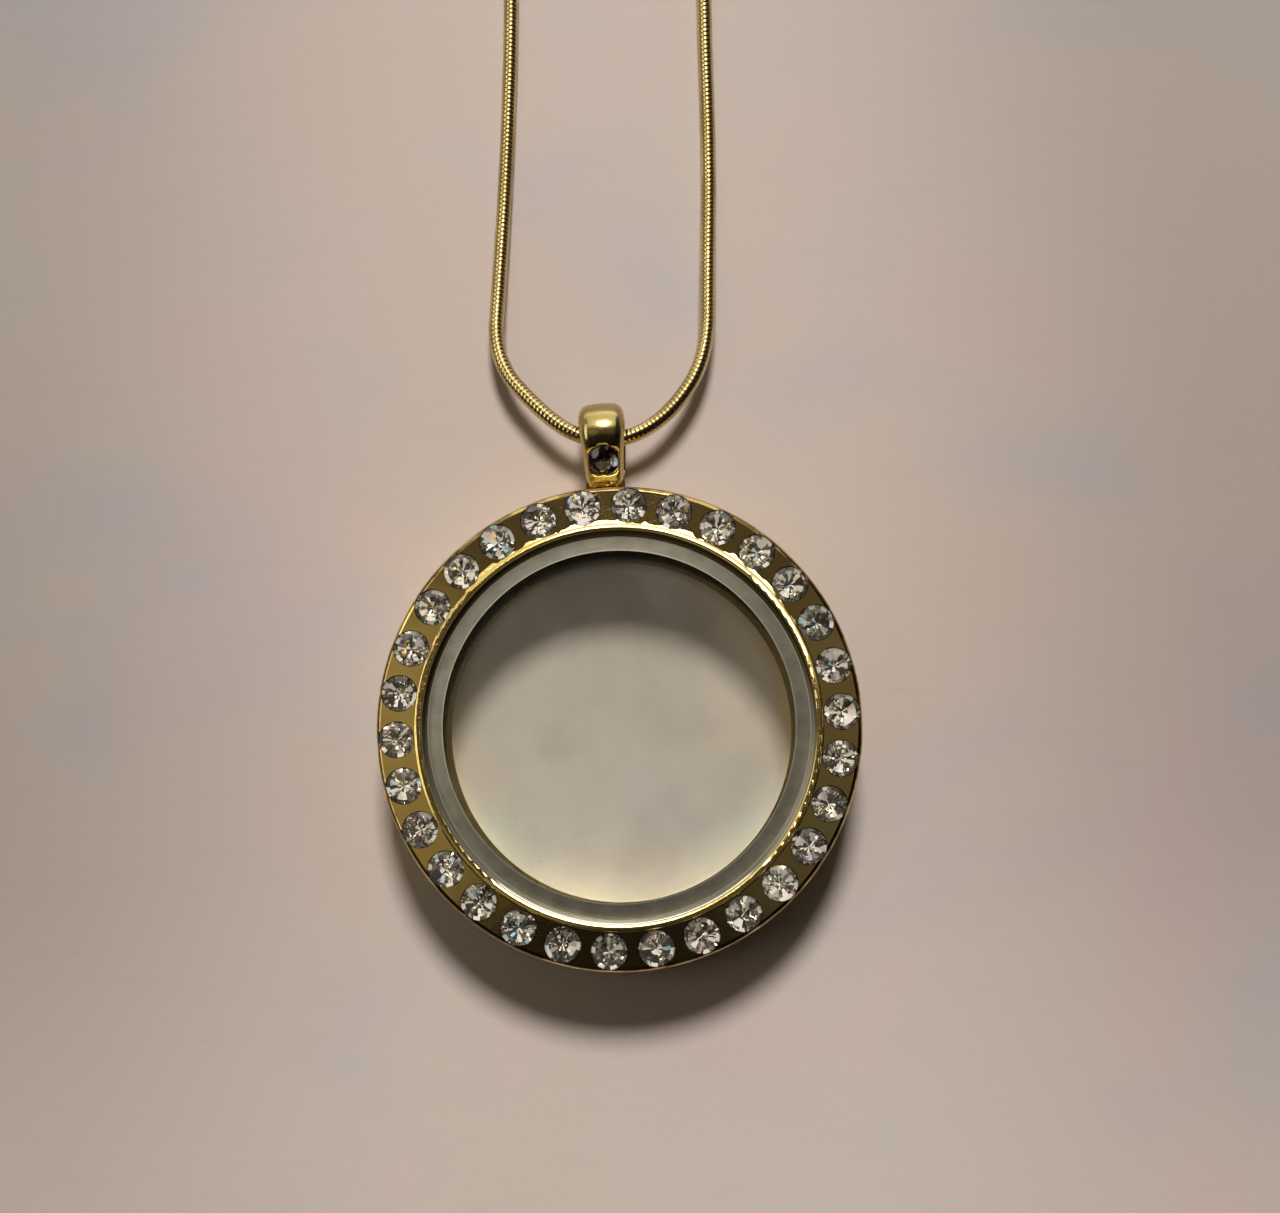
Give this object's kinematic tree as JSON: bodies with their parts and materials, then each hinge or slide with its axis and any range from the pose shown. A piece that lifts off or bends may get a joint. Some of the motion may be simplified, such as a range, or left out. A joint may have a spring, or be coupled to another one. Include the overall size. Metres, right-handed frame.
{
  "type": "locket pendant on a snake chain",
  "caption": "Round glass locket with a crystal-set gold bezel, a hinged front that opens to a charm space, a crystal bail and a round snake chain, lying face up.",
  "frame": {"origin": "centre of the round case, on the flat foot that it lies on", "axes": "+Z out of the face, +Y towards the bail, +X to the right of the face"},
  "size_m": [0.0572, 0.2376, 0.0068],
  "materials": {
    "polished_gold": "polished gold plating",
    "gold_chain": "polished gold plating over fine ribs",
    "clear_glass": "clear polished glass",
    "crystal": "faceted clear crystal"
  },
  "bodies": {
    "back_half": {"back_case": "polished_gold", "back_glass": "clear_glass", "hinge_pin": "polished_gold", "bail": "polished_gold", "bail_crystal": "crystal", "chain": "gold_chain", "clasp": "polished_gold"},
    "front_half": {"front_bezel": "polished_gold", "front_glass": "clear_glass", "crystal_01": "crystal", "crystal_02": "crystal", "crystal_03": "crystal", "crystal_04": "crystal", "crystal_05": "crystal", "crystal_06": "crystal", "crystal_07": "crystal", "crystal_08": "crystal", "crystal_09": "crystal", "crystal_10": "crystal", "crystal_11": "crystal", "crystal_12": "crystal", "crystal_13": "crystal", "crystal_14": "crystal", "crystal_15": "crystal", "crystal_16": "crystal", "crystal_17": "crystal", "crystal_18": "crystal", "crystal_19": "crystal", "crystal_20": "crystal", "crystal_21": "crystal", "crystal_22": "crystal", "crystal_23": "crystal", "crystal_24": "crystal", "crystal_25": "crystal", "crystal_26": "crystal", "crystal_27": "crystal", "crystal_28": "crystal", "crystal_29": "crystal", "crystal_30": "crystal"}
  },
  "joints": [
    {"name": "front_hinge", "type": "hinge", "parent": "back_half", "child": "front_half", "pos_m": [-0.01455, 0, 0.00345], "axis": [0, -1, 0], "range_deg": [0, 110]}
  ]
}
